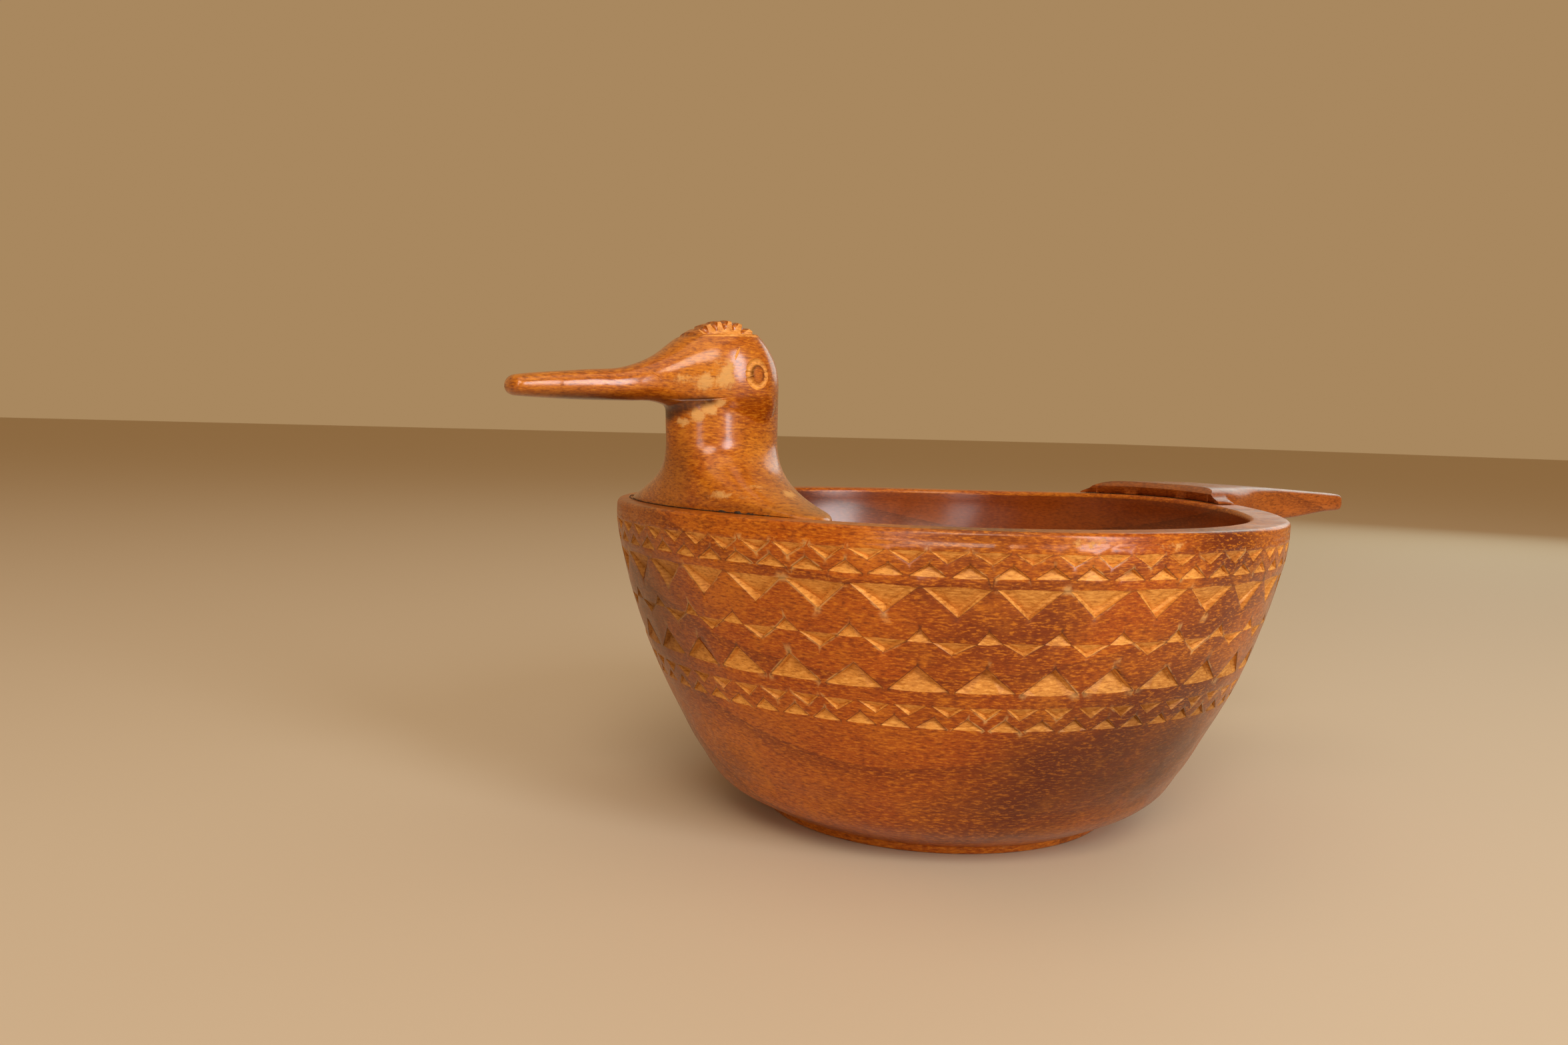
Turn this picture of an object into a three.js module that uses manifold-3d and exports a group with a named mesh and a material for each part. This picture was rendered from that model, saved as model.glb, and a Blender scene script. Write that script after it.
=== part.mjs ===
// Kuksa: a round wooden drinking bowl with a long-beaked bird's head and a flat tail glued over its rim.
// Millimetres. +Z is up, +X points along the beak. The origin is the centre of the bowl's flat foot.
import * as THREE from "three";
import * as BufferGeometryUtils from "three/addons/utils/BufferGeometryUtils.js";
import Module from "manifold-3d";

// Bowl
const RIM_RADIUS = 60;
const BOWL_HEIGHT = 55.5;
const WALL = 6.6;
const RIM_ROUNDING = 0.8;
const RIM_RISE = 1.2;
const RISE_DEPTH = 11.5;
const RISE_NARROWNESS = 6;
const FLOOR = 7;
const FOOT_RADIUS = 31.8;
const FOOT_HEIGHT = 2;
const FOOT_EDGE = 0.6;
// The wall's curve above the foot: share of the wall's height, share of the way out from foot to rim.
const WALL_CURVE = [
  [0, 0.06],
  [0.065, 0.285],
  [0.17, 0.445],
  [0.325, 0.61],
  [0.48, 0.75],
  [0.64, 0.86],
  [0.79, 0.945],
  [0.94, 1],
];
const HOLLOW_SQUARENESS = 8;

// Head and neck
const NECK_INSET = 14.2;
const NECK_DEPTH = 9.6;
const NECK_WIDTH = 8.2;
const NECK_HEIGHT = 21;
const NECK_LEAN = 0.9;
const FLARE_HEIGHT = 11;
const FLARE_POWER = 2;
const FOOT_HALF_WIDTH = 29;
const FOOT_BACK = 13;
const FOOT_SHIFT = 8;
const BRACKET_DEPTH = 14;
const BRACKET_HALF_WIDTH = 15;
const BRACKET_TAPER = 2;
const BRACKET_SWEEP = 1.5;
const BEAK_TIP = 37.2;
const HEAD_BACK = -8.8;
// The head from the back to the beak's tip: distance ahead of the neck's middle, then the heights above
// the rim of its top and its underside, then its half width.
const HEAD_STATIONS = [
  [-8.4, 26.2, 12, 6.4],
  [-4.8, 28.6, 12, 7.9],
  [-0.3, 30.6, 12, 8.5],
  [4.2, 30, 13, 8],
  [8.6, 27.5, 15.6, 6.4],
  [12.7, 24.5, 16.9, 4.9],
  [17.7, 22.4, 16.9, 4.1],
  [25.2, 21.5, 16.8, 3.7],
  [35.2, 20.4, 17, 3.1],
];
const TIP_ROUNDING = 2;
const BACK_ROUNDING = 6;
const HEAD_SQUARENESS = 2.2;

// Tail
const TAIL_TIP = 38.4;
const TAIL_START = -10;
// The tail from the rim to its end: distance beyond the rim's outside, then the heights above the rim of
// its top and its underside, then its half width.
const TAIL_STATIONS = [
  [-6, 3.9, -14, 17.2],
  [0, 3.9, -13, 16.8],
  [4, 3.9, -10, 15.4],
  [9, 3.9, -6, 13.4],
  [16, 3.7, -4, 12.3],
  [25, 3.4, -2.8, 12.8],
  [33, 3.2, -1.4, 13.7],
  [37, 3.1, -1, 13.9],
];
const TAIL_START_ROUNDING = 1;
const TAIL_END_ROUNDING = 1.2;
const TAIL_SQUARENESS = 3.2;

// Joints
const GLUE_GAP = 0.3;
const SEAM_INSET = 4.5;
const DOWEL_RADIUS = 1.5;
const WALL_BEYOND_DOWEL = 3;
const DOWEL_IN_PIECE = 6;
const DOWEL_DROP = 5.2;
const HEAD_DOWEL_SPREAD = 9;
const TAIL_DOWEL_SPREAD = 8;

// How finely curves are cut into flats
const AROUND_BOWL = 80;
const WALL_STEPS = 12;
const RIM_STEPS = 8;
const HOLLOW_STEPS = 13;
const AROUND_NECK = 40;
const NECK_STEPS = 18;
const AROUND_HEAD = 28;
const HEAD_STEPS = 34;
const AROUND_TAIL = 32;
const TAIL_STEPS = 22;
const AROUND_DOWEL = 16;
const SAMPLES_PER_STATION = 16;
// Powers that crowd the bowl's levels towards the foot and the floor, where the curves are tightest.
const WALL_CROWDING = 1.3;
const HOLLOW_CROWDING = 2;
// A rounded end stops at this share of its full size, so that it closes with a small flat.
const END_SIZE = 0.04;

const neckReach = RIM_RADIUS - NECK_INSET;
const dowelInWall = WALL - WALL_BEYOND_DOWEL;
const dowelLength = dowelInWall + DOWEL_IN_PIECE;
const dowelHeight = BOWL_HEIGHT - DOWEL_DROP;

const wasm = await Module();
wasm.setup();

function solid(geometry) {
  const bare = geometry.clone();
  bare.deleteAttribute("normal");
  bare.deleteAttribute("uv");
  const merged = BufferGeometryUtils.mergeVertices(bare, 1e-4);
  return new wasm.Manifold(
    new wasm.Mesh({
      numProp: 3,
      vertProperties: new Float32Array(merged.attributes.position.array),
      triVerts: new Uint32Array(merged.index.array),
    }),
  );
}

function toGeometry(manifold) {
  const mesh = manifold.getMesh();
  const geometry = new THREE.BufferGeometry();
  geometry.setAttribute("position", new THREE.BufferAttribute(mesh.vertProperties, 3));
  geometry.setIndex(new THREE.BufferAttribute(mesh.triVerts, 1));
  geometry.computeVertexNormals();
  return geometry;
}

// Moves every point of a geometry to where place() puts it.
function shaped(geometry, place) {
  const position = geometry.attributes.position;
  const point = new THREE.Vector3();
  for (let i = 0; i < position.count; i += 1) {
    point.fromBufferAttribute(position, i);
    place(point);
    position.setXYZ(i, point.x, point.y, point.z);
  }
  return geometry;
}

// Turns a profile of [radius, height] pairs about the Z axis.
function turned(profile) {
  const points = profile.map(([radius, height]) => new THREE.Vector2(radius, height));
  return new THREE.LatheGeometry(points, AROUND_BOWL).rotateX(Math.PI / 2);
}

// Lifts the rim gently where it carries the tail, on the -X side.
function riseToTail(geometry) {
  return shaped(geometry, (point) => {
    const towardsTail = Math.max(0, -Math.cos(Math.atan2(point.y, point.x))) ** RISE_NARROWNESS;
    const upTheWall = THREE.MathUtils.smoothstep(point.z, BOWL_HEIGHT - RISE_DEPTH, BOWL_HEIGHT);
    point.z += RIM_RISE * towardsTail * upTheWall;
  });
}

// A unit cylinder lying along +X from 0 to 1, with radius 1, ready to be shaped.
function blank(around, steps) {
  return new THREE.CylinderGeometry(1, 1, 1, around, steps)
    .rotateZ(-Math.PI / 2)
    .translate(0.5, 0, 0);
}

// A smooth curve through stations: returns a function from the first column to the others.
function smoothTable(rows) {
  const curve = new THREE.CatmullRomCurve3(
    rows.map((row) => new THREE.Vector3(row[0], row[1], row[2] ?? 0)),
    false,
    "centripetal",
  );
  const samples = curve.getPoints(rows.length * SAMPLES_PER_STATION);
  return (x) => {
    const last = samples.length - 1;
    const next = samples.findIndex((sample) => sample.x >= x);
    if (next <= 0) {
      return next === 0 ? samples[0] : samples[last];
    }
    const before = samples[next - 1];
    const after = samples[next];
    const share = (x - before.x) / (after.x - before.x);
    return before.clone().lerp(after, share);
  };
}

// Bowl: one block, turned outside and in.
const bulgeAt = smoothTable(WALL_CURVE);

function outerRadius(z) {
  const share = Math.max(0, (z - FOOT_HEIGHT) / (BOWL_HEIGHT - FOOT_HEIGHT));
  return FOOT_RADIUS + (RIM_RADIUS - FOOT_RADIUS) * bulgeAt(share).y;
}

function innerRadius(z) {
  const share = Math.min(1, Math.max(0, (z - FLOOR) / (BOWL_HEIGHT - FLOOR)));
  const fullness = Math.sqrt(1 - (1 - share) ** HOLLOW_SQUARENESS);
  return (outerRadius(z) - WALL) * fullness;
}

// The heights at which the outside and the hollow are turned, up to where the rim's rounding starts.
const wallTop = BOWL_HEIGHT - RIM_ROUNDING;
const wallLevels = [];
for (let i = 0; i < WALL_STEPS; i += 1) {
  wallLevels.push(THREE.MathUtils.lerp(FOOT_HEIGHT, wallTop, (i / WALL_STEPS) ** WALL_CROWDING));
}
const hollowLevels = [];
for (let i = HOLLOW_STEPS - 1; i > 0; i -= 1) {
  hollowLevels.push(THREE.MathUtils.lerp(FLOOR, wallTop, (i / HOLLOW_STEPS) ** HOLLOW_CROWDING));
}

// The rim from the outside over its flat top to the inside, with rounded edges, grown by a clearance.
function rimEdge(clearance) {
  const rounding = RIM_ROUNDING + clearance;
  const outer = outerRadius(wallTop) - RIM_ROUNDING;
  const inner = innerRadius(wallTop) + RIM_ROUNDING;
  const edge = [];
  for (let i = 0; i <= RIM_STEPS; i += 1) {
    const angle = (Math.PI * i) / RIM_STEPS;
    const centre = angle <= Math.PI / 2 ? outer : inner;
    edge.push([centre + rounding * Math.cos(angle), wallTop + rounding * Math.sin(angle)]);
    if (angle === Math.PI / 2) {
      edge.push([inner, wallTop + rounding]);
    }
  }
  return edge;
}

function bowlSolid() {
  const profile = [
    [0, 0],
    [FOOT_RADIUS - FOOT_EDGE, 0],
    [FOOT_RADIUS, FOOT_EDGE],
    [FOOT_RADIUS, FOOT_HEIGHT - FOOT_EDGE],
    ...wallLevels.map((z) => [outerRadius(z), z]),
    ...rimEdge(0),
    ...hollowLevels.map((z) => [innerRadius(z), z]),
    [0, FLOOR],
  ];
  return solid(riseToTail(turned(profile)));
}

// The wall around the rim, grown by the glue gap: what is cut from the pieces glued to it. It reaches
// past the lower of the two.
function wallCutter() {
  const tailDepth = Math.max(...TAIL_STATIONS.map((row) => -row[2]));
  const lowest = BOWL_HEIGHT - BRACKET_DEPTH - tailDepth;
  const outside = wallLevels.filter((z) => z >= lowest);
  const inside = hollowLevels.filter((z) => z >= lowest);
  const profile = [
    ...outside.map((z) => [outerRadius(z) + GLUE_GAP, z]),
    ...rimEdge(GLUE_GAP),
    ...inside.map((z) => [innerRadius(z) - GLUE_GAP, z]),
  ];
  profile.push(profile[0]);
  return solid(riseToTail(turned(profile)));
}

// The radius of the seam line along the rim's top, where the glued pieces end.
function seamRadius() {
  return outerRadius(wallTop) - SEAM_INSET;
}

// Neck: a column that flares into a foot along the rim, with a bracket down the inside of the wall.
function neckSolid() {
  const outward = seamRadius() - neckReach;
  const bracketEnd = innerRadius(BOWL_HEIGHT - BRACKET_DEPTH) - neckReach + GLUE_GAP;
  return solid(
    shaped(blank(AROUND_NECK, NECK_STEPS), (point) => {
      const height = point.x * (NECK_HEIGHT + BRACKET_DEPTH) - BRACKET_DEPTH;
      const flare = Math.min(1, Math.max(0, 1 - height / FLARE_HEIGHT)) ** FLARE_POWER;
      const drop = Math.max(0, -height / BRACKET_DEPTH);
      const side = NECK_WIDTH + (FOOT_HALF_WIDTH - NECK_WIDTH) * flare;
      const halfWidth = side - (FOOT_HALF_WIDTH - BRACKET_HALF_WIDTH) * drop ** BRACKET_TAPER;
      const back = NECK_DEPTH + (FOOT_BACK - NECK_DEPTH) * flare;
      const inner = -back + (back + bracketEnd) * drop ** BRACKET_SWEEP;
      const lean = NECK_LEAN * Math.max(0, height / NECK_HEIGHT);
      const outer = NECK_DEPTH + (outward - NECK_DEPTH) * flare + lean;
      const across = -point.y;
      const out = point.z;
      const radial = (inner + outer) / 2 + (out * (outer - inner)) / 2;
      const shift = FOOT_SHIFT * flare * across ** 2 * (1 - drop);
      const reach = Math.min(neckReach + radial + shift, seamRadius() + lean);
      const angle = (across * halfWidth) / seamRadius();
      const spread = Math.sin(angle) * (seamRadius() * flare + reach * (1 - flare));
      point.set(reach * Math.cos(angle), spread, BOWL_HEIGHT + height);
    }),
  );
}

// A body along X through stations, with rounded ends. Stations give top, underside and half width.
function stationBody(stations, start, end, roundings, squareness, around, steps) {
  const heights = smoothTable(stations);
  const widths = smoothTable(stations.map((row) => [row[0], row[3]]));
  const power = 2 / squareness;
  return shaped(blank(around, steps), (point) => {
    const crowded = (1 - Math.cos(Math.PI * point.x)) / 2;
    const along = THREE.MathUtils.lerp(start, end, (crowded + point.x) / 2);
    const fromStart = Math.min(1, (along - start) / roundings[0]);
    const fromEnd = Math.min(1, (end - along) / roundings[1]);
    const swell = Math.sqrt(1 - (1 - fromStart) ** 2) * Math.sqrt(1 - (1 - fromEnd) ** 2);
    const size = THREE.MathUtils.lerp(END_SIZE, 1, swell);
    const { y: top, z: bottom } = heights(along);
    const halfWidth = widths(along).y * size;
    const halfHeight = ((top - bottom) / 2) * size;
    const across = Math.sign(point.y) * Math.abs(point.y) ** power;
    const up = Math.sign(point.z) * Math.abs(point.z) ** power;
    point.set(along, across * halfWidth, BOWL_HEIGHT + (top + bottom) / 2 + up * halfHeight);
  });
}

// A dowel, or with a clearance its hole, lying along X from x to x + length.
function dowelSolid(x, y, length, clearance) {
  const radius = DOWEL_RADIUS + clearance;
  const geometry = new THREE.CylinderGeometry(radius, radius, length + 2 * clearance, AROUND_DOWEL)
    .rotateZ(Math.PI / 2)
    .translate(x + length / 2, y, dowelHeight);
  return solid(geometry);
}

// Where a dowel starts on X so that it goes the right depth into the wall at this distance aside.
function headDowelStart(y) {
  const inner = innerRadius(dowelHeight);
  return Math.sqrt(inner ** 2 - y ** 2) - DOWEL_IN_PIECE;
}

function tailDowelStart(y) {
  const outer = outerRadius(dowelHeight);
  return -Math.sqrt(outer ** 2 - y ** 2) - DOWEL_IN_PIECE;
}

const dowels = [
  ["head_dowel_right", headDowelStart(HEAD_DOWEL_SPREAD), -HEAD_DOWEL_SPREAD],
  ["head_dowel_left", headDowelStart(HEAD_DOWEL_SPREAD), HEAD_DOWEL_SPREAD],
  ["tail_dowel_right", tailDowelStart(TAIL_DOWEL_SPREAD), -TAIL_DOWEL_SPREAD],
  ["tail_dowel_left", tailDowelStart(TAIL_DOWEL_SPREAD), TAIL_DOWEL_SPREAD],
];

function drilled(body) {
  return dowels.reduce(
    (rest, [, x, y]) => rest.subtract(dowelSolid(x, y, dowelLength, GLUE_GAP)),
    body,
  );
}

// The tail is trimmed back to its seam on the rim by a plug that fills the bowl's mouth.
function mouthPlug() {
  const top = BOWL_HEIGHT * 2;
  return solid(
    turned([
      [0, 0],
      [seamRadius(), 0],
      [seamRadius(), top],
      [0, top],
    ]),
  );
}

function headSolid() {
  const head = stationBody(
    HEAD_STATIONS,
    HEAD_BACK,
    BEAK_TIP,
    [BACK_ROUNDING, TIP_ROUNDING],
    HEAD_SQUARENESS,
    AROUND_HEAD,
    HEAD_STEPS,
  );
  head.translate(neckReach, 0, 0);
  return drilled(neckSolid().add(solid(head)).subtract(wallCutter()));
}

function tailSolid() {
  const tail = stationBody(
    TAIL_STATIONS,
    TAIL_START,
    TAIL_TIP,
    [TAIL_START_ROUNDING, TAIL_END_ROUNDING],
    TAIL_SQUARENESS,
    AROUND_TAIL,
    TAIL_STEPS,
  );
  tail.translate(RIM_RADIUS, 0, 0).rotateZ(Math.PI);
  return drilled(solid(tail).subtract(mouthPlug()).subtract(wallCutter()));
}

const kuksa = new THREE.Group();

function addPiece(name, body, color, roughness) {
  const material = new THREE.MeshStandardMaterial({ color, roughness, metalness: 0 });
  const mesh = new THREE.Mesh(toGeometry(body), material);
  mesh.name = name;
  kuksa.add(mesh);
}

addPiece("bowl", drilled(bowlSolid()), 0xa8561c, 0.3);
addPiece("head_and_neck", headSolid(), 0xb8661f, 0.3);
addPiece("tail", tailSolid(), 0x9a4c1a, 0.3);
for (const [name, x, y] of dowels) {
  addPiece(name, dowelSolid(x, y, dowelLength, 0), 0xcfa46a, 0.7);
}

export default kuksa;
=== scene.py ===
# A kuksa: a round carved drinking bowl with a long-beaked bird's head and a flat tail glued over its rim.
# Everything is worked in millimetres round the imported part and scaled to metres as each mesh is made.
import math
import random

import bmesh
import bpy
import numpy as np
from mathutils import Matrix, Vector, geometry
from mathutils.bvhtree import BVHTree


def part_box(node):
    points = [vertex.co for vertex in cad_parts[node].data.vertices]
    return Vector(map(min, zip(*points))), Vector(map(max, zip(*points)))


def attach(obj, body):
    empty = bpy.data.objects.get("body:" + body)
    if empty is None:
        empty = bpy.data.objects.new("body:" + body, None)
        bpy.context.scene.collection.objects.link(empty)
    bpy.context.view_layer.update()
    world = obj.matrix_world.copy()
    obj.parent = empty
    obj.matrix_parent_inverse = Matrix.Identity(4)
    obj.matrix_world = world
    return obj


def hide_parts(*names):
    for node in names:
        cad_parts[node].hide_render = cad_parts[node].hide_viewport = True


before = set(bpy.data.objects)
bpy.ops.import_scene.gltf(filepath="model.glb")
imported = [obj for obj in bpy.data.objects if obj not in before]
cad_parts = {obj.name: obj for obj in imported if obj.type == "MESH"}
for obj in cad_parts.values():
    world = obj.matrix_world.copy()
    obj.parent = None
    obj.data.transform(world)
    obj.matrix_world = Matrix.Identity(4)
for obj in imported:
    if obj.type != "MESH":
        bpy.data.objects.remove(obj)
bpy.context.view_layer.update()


# ---- Bowl -----------------------------------------------------------------------------------------
# One block of pale, fine-grained wood, turned and scraped to a thin wall on a low foot. It was stained
# and varnished, and seven rows of triangles were cut into its wall with the corner of a chisel.
MM = 0.001
RIM_RISE = 1.2
RISE_DEPTH = 11.5
RISE_NARROWNESS = 6
WALL = 6.6
FLOOR = 7
FOOT_RADIUS = 31.8
FOOT_HEIGHT = 2
RIM_ROUNDING = 0.8
HOLLOW_SQUARENESS = 8
SKIN = 0.12

rim_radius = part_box("bowl")[1].x / MM
rim_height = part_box("bowl")[1].z / MM - RIM_RISE
wall_top = rim_height - RIM_ROUNDING


def smooth_through(rows):
    """A smooth curve through rows of [place, value, value...]: gives the values at any place."""
    table = np.array(rows, float)
    places, values = table[:, 0], table[:, 1:]
    slopes = np.gradient(values, places, axis=0)

    def at(place):
        place = np.clip(np.asarray(place, float), places[0], places[-1])
        left = np.clip(np.searchsorted(places, place, side="right") - 1, 0, len(places) - 2)
        step = (places[left + 1] - places[left])[..., None]
        t = (place - places[left])[..., None] / step
        ease = t * t * (3 - 2 * t)
        leave = t * (1 - t) ** 2
        arrive = t * t * (t - 1)
        ends = values[left] * (1 - ease) + values[left + 1] * ease
        return ends + step * (leave * slopes[left] + arrive * slopes[left + 1])

    return at


bulge_at = smooth_through(
    [
        [0, 0.06],
        [0.065, 0.285],
        [0.17, 0.445],
        [0.325, 0.61],
        [0.48, 0.75],
        [0.64, 0.86],
        [0.79, 0.945],
        [0.94, 1],
        [1, 1],
    ]
)


def outer_radius(z):
    share = (np.asarray(z, float) - FOOT_HEIGHT) / (rim_height - FOOT_HEIGHT)
    return FOOT_RADIUS + (rim_radius - FOOT_RADIUS) * bulge_at(share)[..., 0]


def inner_radius(z):
    share = np.clip((np.asarray(z, float) - FLOOR) / (rim_height - FLOOR), 0, 1)
    return (outer_radius(z) - WALL) * np.sqrt(1 - (1 - share) ** HOLLOW_SQUARENESS)


def ripple(points, size, depth, seed):
    """The unevenness of hand work: a smooth height over space, about this size across."""
    draw = np.random.default_rng(seed)
    height = np.zeros(len(points))
    for _ in range(9):
        direction = draw.normal(size=3)
        direction *= 2 * math.pi / (size * np.linalg.norm(direction) * draw.uniform(0.7, 1.6))
        height += np.sin(points @ direction + draw.uniform(0, 2 * math.pi))
    return height * depth / 3


def lift_rim(points):
    """The rim swells gently where it carries the tail."""
    towards = np.clip(-np.cos(np.arctan2(points[:, 1], points[:, 0])), 0, None) ** RISE_NARROWNESS
    up = np.clip((points[:, 2] - rim_height + RISE_DEPTH) / RISE_DEPTH, 0, 1)
    points[:, 2] += RIM_RISE * towards * up * up * (3 - 2 * up)
    return points


# The carved rows, from the top: which way the triangles point, the height of their base and of their
# point, how many go round, the angle of one of them, their cut's depth and their width as a share.
ROWS = [
    ("small", 52.4, 50.7, 64, 31.3, 0.85, 0.9),
    ("small", 48.9, 50.65, 64, 34.1, 0.85, 0.86),
    ("big", 47.2, 43.1, 36, 5.0, 1.4, 0.93),
    ("chain", 39.3, 41.1, 36, 0.0, 0.75, 0.38),
    ("big", 31.8, 35.5, 36, 0.0, 1.35, 0.9),
    ("small", 29.3, 27.5, 62, 48.8, 0.75, 0.86),
    ("small", 25.7, 27.5, 62, 46.4, 0.75, 0.84),
]
CHAIN_DROP = 1.9
# Strength of the painted shadow line along the sides of triangles that point up and of those that point down.
UP_SHADOW_LINE, DOWN_SHADOW_LINE = 1.0, 0.86
CARVED_TOP = 53.5
CARVED_BOTTOM = 24.2
BEHIND = 230
COLUMNS = 264
RING_GAP = 0.38
WALL_PITCH = 1.9

levels = np.linspace(CARVED_BOTTOM, CARVED_TOP, 500)
steps_up = np.hypot(np.diff(levels), np.diff(outer_radius(levels)))
slope_length = np.concatenate([[0], np.cumsum(steps_up)])
chance = random.Random(11)


def unrolled(angle, z):
    """A place on the wall, by its angle in degrees and its height, laid out flat."""
    return Vector((math.radians(angle) * rim_radius, float(np.interp(z, levels, slope_length))))


def jitter(amount):
    return chance.uniform(-amount, amount)


class Sheet:
    """The wall laid out flat: its points and their depths, the lines drawn on it, the outline of each
    cut, and the corners where an edge is crisp, with the strength of the painted shadow line there."""

    def __init__(self):
        self.points, self.depths, self.lines, self.cuts, self.crisp = [], [], [], [], []

    def add(self, point, depth=0.0):
        self.points.append(Vector(point))
        self.depths.append(depth)
        return len(self.points) - 1

    def join(self, *ids):
        self.lines += list(zip(ids, ids[1:]))


sheet = Sheet()


def base_arc(left, right, away, bulge, steps=3):
    """Points along a triangle's base, bowed away from its point."""
    ids = []
    for i in range(1, steps + 1):
        t = i / (steps + 1)
        ids.append(sheet.add(left.lerp(right, t) + away * (4 * bulge * t * (1 - t))))
    return ids


def cut_chip(left, right, point, depth, big, ends=None):
    """One triangular cut: a floor that slopes down towards its point, and two steep sides. Drawn from
    its left, right and point. A cut in the chain shares its ends with its neighbours."""
    middle = (left + right) / 2
    away = (middle - point).normalized()
    a, b = ends or (sheet.add(left), sheet.add(right))
    c = sheet.add(point)
    bow = base_arc(left, right, away, (0.28 if big else 0.12) * chance.uniform(0.4, 1.3))
    sheet.join(a, *bow, b, c, a)
    deepest = middle.lerp(point, 0.84 + jitter(0.03)) + (right - left) * (0.01 + jitter(0.03))
    d = sheet.add(deepest, depth)
    sheet.join(c, d)
    inner_left = left.lerp(middle, 0.14 + jitter(0.04)).lerp(point, 0.12)
    inner_right = right.lerp(middle, (0.24 if big else 0.16) + jitter(0.04)).lerp(point, 0.12)
    e = sheet.add(inner_left, depth * 0.34)
    f = sheet.add(inner_right, depth * 0.34)
    sheet.join(a, e, d, f, b)
    if big:
        second = sheet.add(right.lerp(inner_right, 0.55).lerp(point, 0.1), depth * 0.3)
        lowest = sheet.add(point.lerp(deepest, 0.5) + (right - left) * 0.025, depth * 0.7)
        sheet.join(b, second, lowest, c)
    sheet.cuts.append([sheet.points[i].copy() for i in [a, *bow, b, c]])
    # The painted shadow line along the cut's sides: full where the triangle points up and its sides overhang,
    # weaker where it points down.
    shade = UP_SHADOW_LINE if point.y > left.y else DOWN_SHADOW_LINE
    sheet.crisp += [(sheet.points[i].copy(), shade) for i in (a, b, c)]
    return a, b


def nearest_gap(count, angle, near):
    """The angle between two triangles of a row that lies nearest to another angle."""
    pitch = 360 / count
    return angle + pitch * (round((near - angle) / pitch - 0.5) + 0.5)


# The wall is slit down a line behind the bowl that passes between the cuts, so that it can lie flat.
slit = []
for kind, base, point, count, angle, _, share in ROWS:
    if kind == "small":
        slit.append((nearest_gap(count, angle, slit[-1][0] if slit else BEHIND), base))
    elif kind == "chain":
        corner = BEHIND + 360 / count * share / 2
        slit += [(corner, point), (corner, base), (corner, base - CHAIN_DROP)]
    else:
        gap = nearest_gap(count, angle, BEHIND)
        slit += sorted([(gap, base), (gap, point)], key=lambda place: -place[1])
slit = [(slit[0][0], CARVED_TOP)] + slit + [(slit[-1][0], CARVED_BOTTOM)]

left_ids = [sheet.add(unrolled(angle, z)) for angle, z in slit]
right_ids = [sheet.add(unrolled(angle + 360, z)) for angle, z in slit]
for start, end, z in ((left_ids[0], right_ids[0], CARVED_TOP), (left_ids[-1], right_ids[-1], CARVED_BOTTOM)):
    first, last = sheet.points[start], sheet.points[end]
    between = [sheet.add(first.lerp(last, i / COLUMNS)) for i in range(1, COLUMNS)]
    sheet.join(start, *between, end)
sheet.join(*left_ids)
sheet.join(*right_ids)


def slit_angle(z):
    heights = [place[1] for place in reversed(slit)]
    angles = [place[0] for place in reversed(slit)]
    return float(np.interp(z, heights, angles))


for kind, base, point, count, angle, depth, share in ROWS:
    pitch = 360 / count
    if kind == "chain":
        corner = slit_angle(base)
        ids = [left_ids[[place[1] for place in slit].index(base)]]
        for i in range(1, 2 * count):
            place = corner + pitch * (i // 2 + (1 - share) * (i % 2)) + jitter(0.25)
            ids.append(sheet.add(unrolled(place, base + jitter(0.15))))
        ids.append(right_ids[[place[1] for place in slit].index(base)])
        for i in range(2 * count):
            left, right = sheet.points[ids[i]], sheet.points[ids[i + 1]]
            hangs = i % 2 == 0
            along = corner + pitch * (i // 2 + ((1 - share) / 2 if hangs else 1 - share / 2)) + jitter(0.3)
            tip = unrolled(along, (base - CHAIN_DROP if hangs else point) + jitter(0.15))
            cut_chip(left, right, tip, depth * chance.uniform(0.8, 1.2), False, ids[i : i + 2])
        continue
    middle_z = (base + point) / 2
    first = math.ceil((slit_angle(middle_z) - angle) / pitch)
    for i in range(first, first + count):
        centre = angle + pitch * i
        half = pitch * share / 2
        left = unrolled(centre - half + jitter(0.08), base + jitter(0.1))
        right = unrolled(centre + half + jitter(0.08), base + jitter(0.1))
        tip = unrolled(centre + jitter(0.35), point + jitter(0.12 if kind == "small" else 0.25))
        cut_chip(left, right, tip, depth * chance.uniform(0.8, 1.2), kind == "big")
        if share < 0.92 and i < first + count - 1:
            sheet.add(unrolled(centre + pitch / 2, base))

# Plain points over the rest of the wall: a close ring round each cut, and an even spread between.
lines = [(sheet.points[a], sheet.points[b]) for a, b in sheet.lines]
starts = np.array([line[0] for line in lines])
spans = np.array([line[1] for line in lines]) - starts
lengths = (spans**2).sum(1)
cut_boxes = np.array([[min(p.x for p in cut), max(p.x for p in cut)] for cut in sheet.cuts])


def clearance(place):
    """How far a place is from the nearest drawn line."""
    offset = np.array(place) - starts
    t = np.clip((offset * spans).sum(1) / lengths, 0, 1)[:, None]
    return float(np.sqrt(((offset - t * spans) ** 2).sum(1).min()))


def inside_cut(place):
    near = np.nonzero((cut_boxes[:, 0] <= place.x) & (cut_boxes[:, 1] >= place.x))[0]
    for index in near:
        cut = sheet.cuts[index]
        inside = False
        for p, q in zip(cut, cut[1:] + cut[:1]):
            if (p.y > place.y) != (q.y > place.y):
                if place.x < p.x + (q.x - p.x) * (place.y - p.y) / (q.y - p.y):
                    inside = not inside
        if inside:
            return True
    return False


def on_sheet(place):
    if not 0.2 < place.y < slope_length[-1] - 0.2:
        return False
    z = float(np.interp(place.y, slope_length, levels))
    left = math.radians(slit_angle(z)) * rim_radius
    return left + 0.3 < place.x < left + 2 * math.pi * rim_radius - 0.3


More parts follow.
